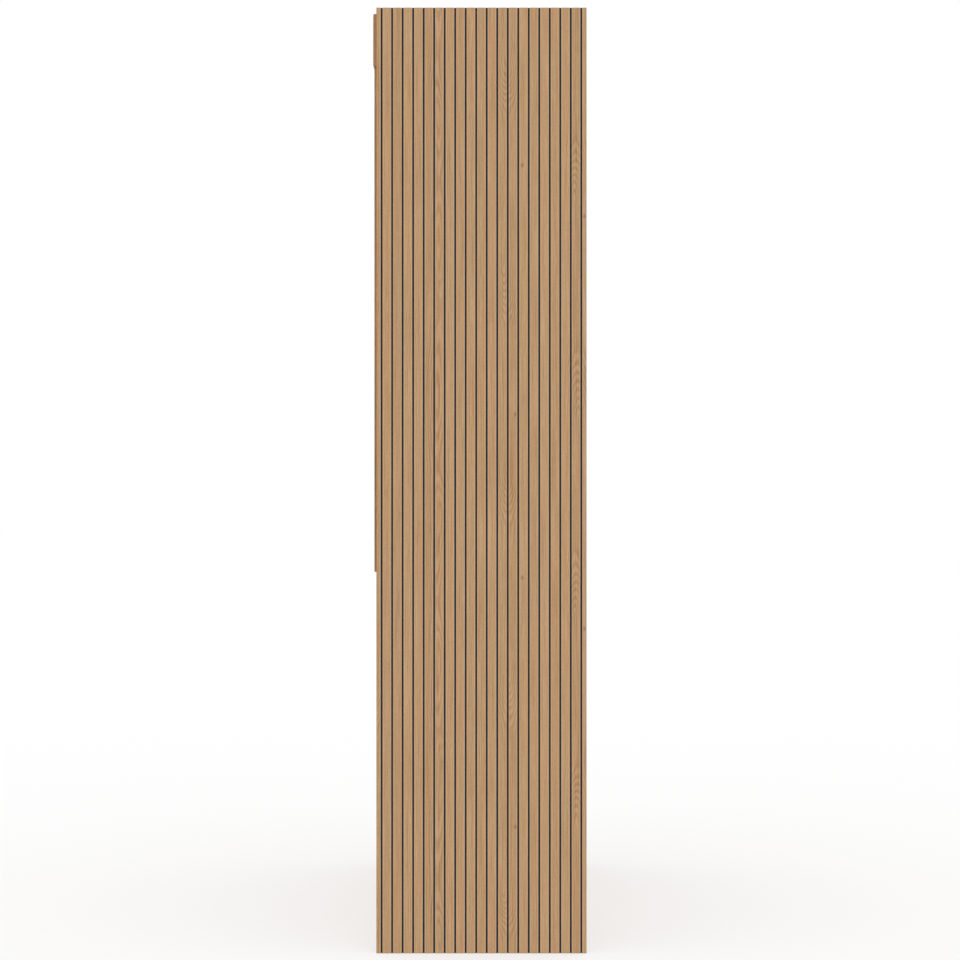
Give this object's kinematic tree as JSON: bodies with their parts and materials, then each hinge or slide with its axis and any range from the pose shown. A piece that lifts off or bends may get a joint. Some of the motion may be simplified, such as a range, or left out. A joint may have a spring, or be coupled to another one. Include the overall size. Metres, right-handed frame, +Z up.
{
  "type": "louvred door cupboard",
  "caption": "Tall free-standing linen cupboard with fluted oak side panels, a pair of louvred doors over shelves, and handleless drawers on telescopic slides below.",
  "frame": {"origin": "on the floor at the middle of the footprint", "axes": "+Z up, -Y towards the front with the doors, +X to the right seen from the front"},
  "size_m": [0.9, 0.407, 1.8],
  "materials": {
    "fluted_oak": "matt lacquer, black-brown grooves",
    "solid_oak": "matt lacquer",
    "oak_board": "matt lacquered veneer",
    "black_backing": "through-dyed black board",
    "back_board": "thin veneered board",
    "drawer_birch": "clear lacquered birch ply",
    "zinc_steel": "bright zinc plated",
    "bright_steel": "nickel plated",
    "white_nylon": "moulded",
    "black_plastic": "moulded",
    "grey_rubber": "soft"
  },
  "bodies": {
    "carcass": {"bottom_panel": "oak_board", "divider_panel": "oak_board", "door_bumpers": "grey_rubber", "header_backer": "oak_board", "header_rail": "solid_oak", "left_side_panel": "fluted_oak", "lower_back_panel": "back_board", "lower_shelf": "oak_board", "magnetic_catches": "black_plastic", "pivot_brackets": "zinc_steel", "pivot_bushes": "white_nylon", "plinth_board": "oak_board", "rear_plinth_board": "oak_board", "right_side_panel": "fluted_oak", "shelf_supports": "bright_steel", "slide_outers": "zinc_steel", "top_panel": "oak_board", "upper_back_panel": "back_board", "upper_shelf": "oak_board", "wall_brackets": "zinc_steel"},
    "bottom_drawer": {"bottom_drawer_back": "drawer_birch", "bottom_drawer_base": "drawer_birch", "bottom_drawer_front": "fluted_oak", "bottom_drawer_left_side": "drawer_birch", "bottom_drawer_right_side": "drawer_birch", "bottom_drawer_slide_inners": "zinc_steel"},
    "bottom_drawer_slide_members": {"bottom_drawer_slide_middles": "zinc_steel"},
    "left_door": {"left_door_backing": "black_backing", "left_door_bottom_rail": "solid_oak", "left_door_hinge_stile": "solid_oak", "left_door_louvres": "solid_oak", "left_door_meeting_stile": "solid_oak", "left_door_pivot_pins": "bright_steel", "left_door_strike_plate": "bright_steel", "left_door_top_rail": "solid_oak"},
    "middle_drawer": {"middle_drawer_back": "drawer_birch", "middle_drawer_base": "drawer_birch", "middle_drawer_front": "fluted_oak", "middle_drawer_left_side": "drawer_birch", "middle_drawer_right_side": "drawer_birch", "middle_drawer_slide_inners": "zinc_steel"},
    "middle_drawer_slide_members": {"middle_drawer_slide_middles": "zinc_steel"},
    "right_door": {"right_door_backing": "black_backing", "right_door_bottom_rail": "solid_oak", "right_door_hinge_stile": "solid_oak", "right_door_louvres": "solid_oak", "right_door_meeting_stile": "solid_oak", "right_door_pivot_pins": "bright_steel", "right_door_strike_plate": "bright_steel", "right_door_top_rail": "solid_oak"},
    "top_drawer": {"top_drawer_back": "drawer_birch", "top_drawer_base": "drawer_birch", "top_drawer_front": "fluted_oak", "top_drawer_left_side": "drawer_birch", "top_drawer_right_side": "drawer_birch", "top_drawer_slide_inners": "zinc_steel"},
    "top_drawer_slide_members": {"top_drawer_slide_middles": "zinc_steel"}
  },
  "joints": [
    {"name": "left_door_hinge", "type": "hinge", "parent": "carcass", "child": "left_door", "pos_m": [-0.4185, -0.1925, 0.725], "axis": [0, 0, -1], "range_deg": [0, 110]},
    {"name": "right_door_hinge", "type": "hinge", "parent": "carcass", "child": "right_door", "pos_m": [0.4185, -0.1925, 0.725], "axis": [0, 0, 1], "range_deg": [0, 110]},
    {"name": "bottom_drawer_slide", "type": "slide", "parent": "carcass", "child": "bottom_drawer", "axis": [0, -1, 0], "range_m": [0, 0.33]},
    {"name": "bottom_slide_members_travel", "type": "slide", "parent": "carcass", "child": "bottom_drawer_slide_members", "axis": [0, -1, 0], "range_m": [0, 0.165]},
    {"name": "middle_drawer_slide", "type": "slide", "parent": "carcass", "child": "middle_drawer", "axis": [0, -1, 0], "range_m": [0, 0.33]},
    {"name": "middle_slide_members_travel", "type": "slide", "parent": "carcass", "child": "middle_drawer_slide_members", "axis": [0, -1, 0], "range_m": [0, 0.165]},
    {"name": "top_drawer_slide", "type": "slide", "parent": "carcass", "child": "top_drawer", "axis": [0, -1, 0], "range_m": [0, 0.33]},
    {"name": "top_slide_members_travel", "type": "slide", "parent": "carcass", "child": "top_drawer_slide_members", "axis": [0, -1, 0], "range_m": [0, 0.165]}
  ],
  "couplings": [
    {"joint": "bottom_slide_members_travel", "follows": "bottom_drawer_slide", "ratio": 0.5},
    {"joint": "middle_slide_members_travel", "follows": "middle_drawer_slide", "ratio": 0.5},
    {"joint": "top_slide_members_travel", "follows": "top_drawer_slide", "ratio": 0.5}
  ]
}
